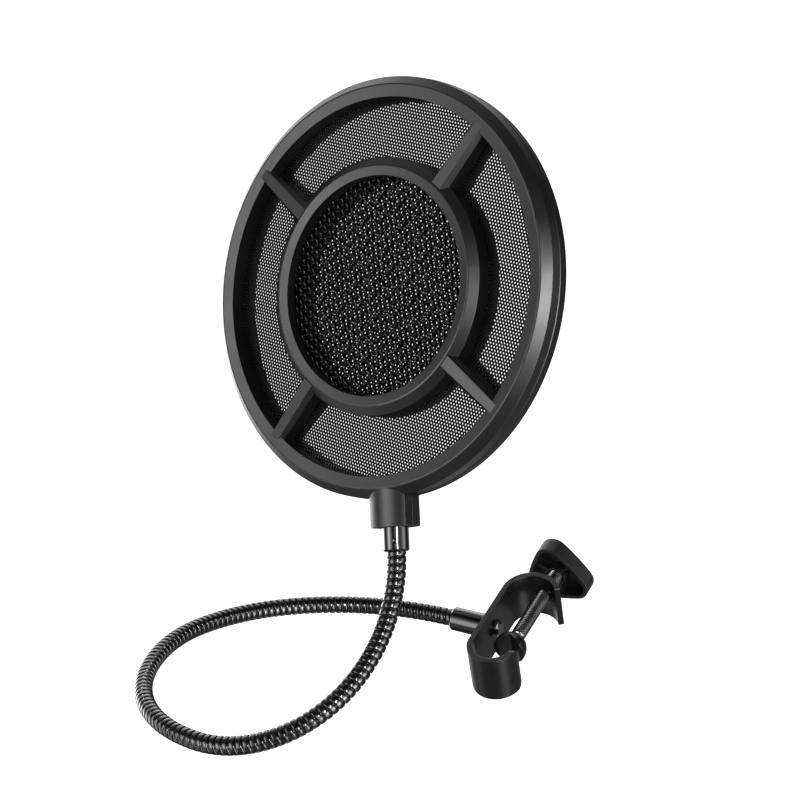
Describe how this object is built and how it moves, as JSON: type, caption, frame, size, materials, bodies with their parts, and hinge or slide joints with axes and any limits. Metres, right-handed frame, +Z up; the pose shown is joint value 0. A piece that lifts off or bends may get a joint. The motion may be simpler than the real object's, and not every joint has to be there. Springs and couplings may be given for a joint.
{
  "type": "pop filter",
  "caption": "Round two-layer pop filter with cross-braced frames on a self-supporting gooseneck, with a screw clamp for a stand tube.",
  "frame": {"origin": "centre of the clamp's hook, where the stand tube sits", "axes": "+Z up along the upright head, +Y backwards out of the head's rear face; the talker's side of the head faces -Y"},
  "size_m": [0.2004, 0.1953, 0.244],
  "materials": {
    "frame_plastic": "fine satin grain",
    "fine_mesh": "black etched sheet",
    "wire_mesh": "black woven wire",
    "neck_metal": "glossy black",
    "ferrule_metal": "glossy black",
    "bracket_metal": "satin black",
    "screw_metal": "blackened, bright at the tip",
    "pad_plastic": "satin black",
    "knob_plastic": "satin black"
  },
  "bodies": {
    "clamp": {"clamp_bracket": "bracket_metal", "mount_stud": "screw_metal", "lower_ferrule": "ferrule_metal", "neck_segment_12": "neck_metal"},
    "neck_11": {"neck_segment_11": "neck_metal"},
    "neck_10": {"neck_segment_10": "neck_metal"},
    "neck_09": {"neck_segment_09": "neck_metal"},
    "neck_08": {"neck_segment_08": "neck_metal"},
    "neck_07": {"neck_segment_07": "neck_metal"},
    "neck_06": {"neck_segment_06": "neck_metal"},
    "neck_05": {"neck_segment_05": "neck_metal"},
    "neck_04": {"neck_segment_04": "neck_metal"},
    "neck_03": {"neck_segment_03": "neck_metal"},
    "neck_02": {"neck_segment_02": "neck_metal"},
    "head": {"neck_segment_01": "neck_metal", "upper_ferrule": "ferrule_metal", "front_frame": "frame_plastic", "rear_frame": "frame_plastic", "fine_screen": "fine_mesh", "wire_screen": "wire_mesh"},
    "pad": {"swivel_pad": "pad_plastic"},
    "screw": {"clamp_screw": "screw_metal", "knob": "knob_plastic"}
  },
  "joints": [
    {"name": "neck_bend_11", "type": "hinge", "parent": "clamp", "child": "neck_11", "pos_m": [-0.05206, -0.00314, 0.02499], "axis": [-0.3158, 0.2476, -0.9159], "range_deg": [-5.16, 14.46]},
    {"name": "neck_bend_10", "type": "hinge", "parent": "neck_11", "child": "neck_10", "pos_m": [-0.07333, -0.02256, 0.02708], "axis": [-0.3158, 0.2476, -0.9159], "range_deg": [-5.26, 14.56]},
    {"name": "neck_bend_09", "type": "hinge", "parent": "neck_10", "child": "neck_09", "pos_m": [-0.08715, -0.04784, 0.02501], "axis": [-0.3158, 0.2476, -0.9159], "range_deg": [-5.26, 14.56]},
    {"name": "neck_bend_08", "type": "hinge", "parent": "neck_09", "child": "neck_08", "pos_m": [-0.09173, -0.07573, 0.01905], "axis": [-0.4694, 0.2285, -0.8529], "range_deg": [-5.49, 15.19]},
    {"name": "neck_bend_07", "type": "hinge", "parent": "neck_08", "child": "neck_07", "pos_m": [-0.08512, -0.10839, 0.00513], "axis": [-0.4448, 0.3175, -0.8375], "range_deg": [-5.47, 15.13]},
    {"name": "neck_bend_06", "type": "hinge", "parent": "neck_07", "child": "neck_06", "pos_m": [-0.07356, -0.12428, -0.00593], "axis": [-0.2594, 0.4176, -0.8708], "range_deg": [-5.64, 15.62]},
    {"name": "neck_bend_05", "type": "hinge", "parent": "neck_06", "child": "neck_05", "pos_m": [-0.05588, -0.13412, -0.01592], "axis": [-0.2594, 0.4176, -0.8708], "range_deg": [-5.54, 15.52]},
    {"name": "neck_bend_04", "type": "hinge", "parent": "neck_05", "child": "neck_04", "pos_m": [-0.03471, -0.13645, -0.02334], "axis": [-0.2408, 0.6292, -0.739], "range_deg": [-6.55, 18.17]},
    {"name": "neck_bend_03", "type": "hinge", "parent": "neck_04", "child": "neck_03", "pos_m": [-0.00561, -0.12876, -0.02309], "axis": [-0.2071, 0.8014, -0.5611], "range_deg": [-9.28, 25.8]},
    {"name": "neck_bend_02", "type": "hinge", "parent": "neck_03", "child": "neck_02", "pos_m": [0.01502, -0.11286, -0.008], "axis": [-0.5602, 0.7682, -0.3098], "range_deg": [-4.91, 13.57]},
    {"name": "neck_bend_01", "type": "hinge", "parent": "neck_02", "child": "head", "pos_m": [0.02437, -0.10006, 0.01449], "axis": [-0.8075, 0.5898, 0], "range_deg": [-5.96, 16.52]},
    {"name": "knob_turn", "type": "hinge", "parent": "pad", "child": "screw", "pos_m": [0.00221, 0.03121, 0.02501], "axis": [0.0027, 0.7682, 0.6402], "range_deg": [-2070, 8640]},
    {"name": "jaw_slide", "type": "slide", "parent": "clamp", "child": "pad", "axis": [0.0027, 0.7682, 0.6402], "range_m": [-0.00585, 0.0241]}
  ],
  "couplings": [
    {"joint": "neck_bend_01", "follows": "neck_bend_05", "ratio": 1.0579},
    {"joint": "neck_bend_02", "follows": "neck_bend_05", "ratio": 0.8683},
    {"joint": "neck_bend_03", "follows": "neck_bend_05", "ratio": 1.656},
    {"joint": "neck_bend_04", "follows": "neck_bend_05", "ratio": 1.1647},
    {"joint": "neck_bend_06", "follows": "neck_bend_11", "ratio": 1.0733},
    {"joint": "neck_bend_07", "follows": "neck_bend_11", "ratio": 1.0394},
    {"joint": "neck_bend_08", "follows": "neck_bend_11", "ratio": 1.0441},
    {"joint": "neck_bend_09", "follows": "neck_bend_11", "ratio": 1},
    {"joint": "neck_bend_10", "follows": "neck_bend_11", "ratio": 1},
    {"joint": "jaw_slide", "follows": "knob_turn", "m_per_rad": 0.00015915}
  ]
}
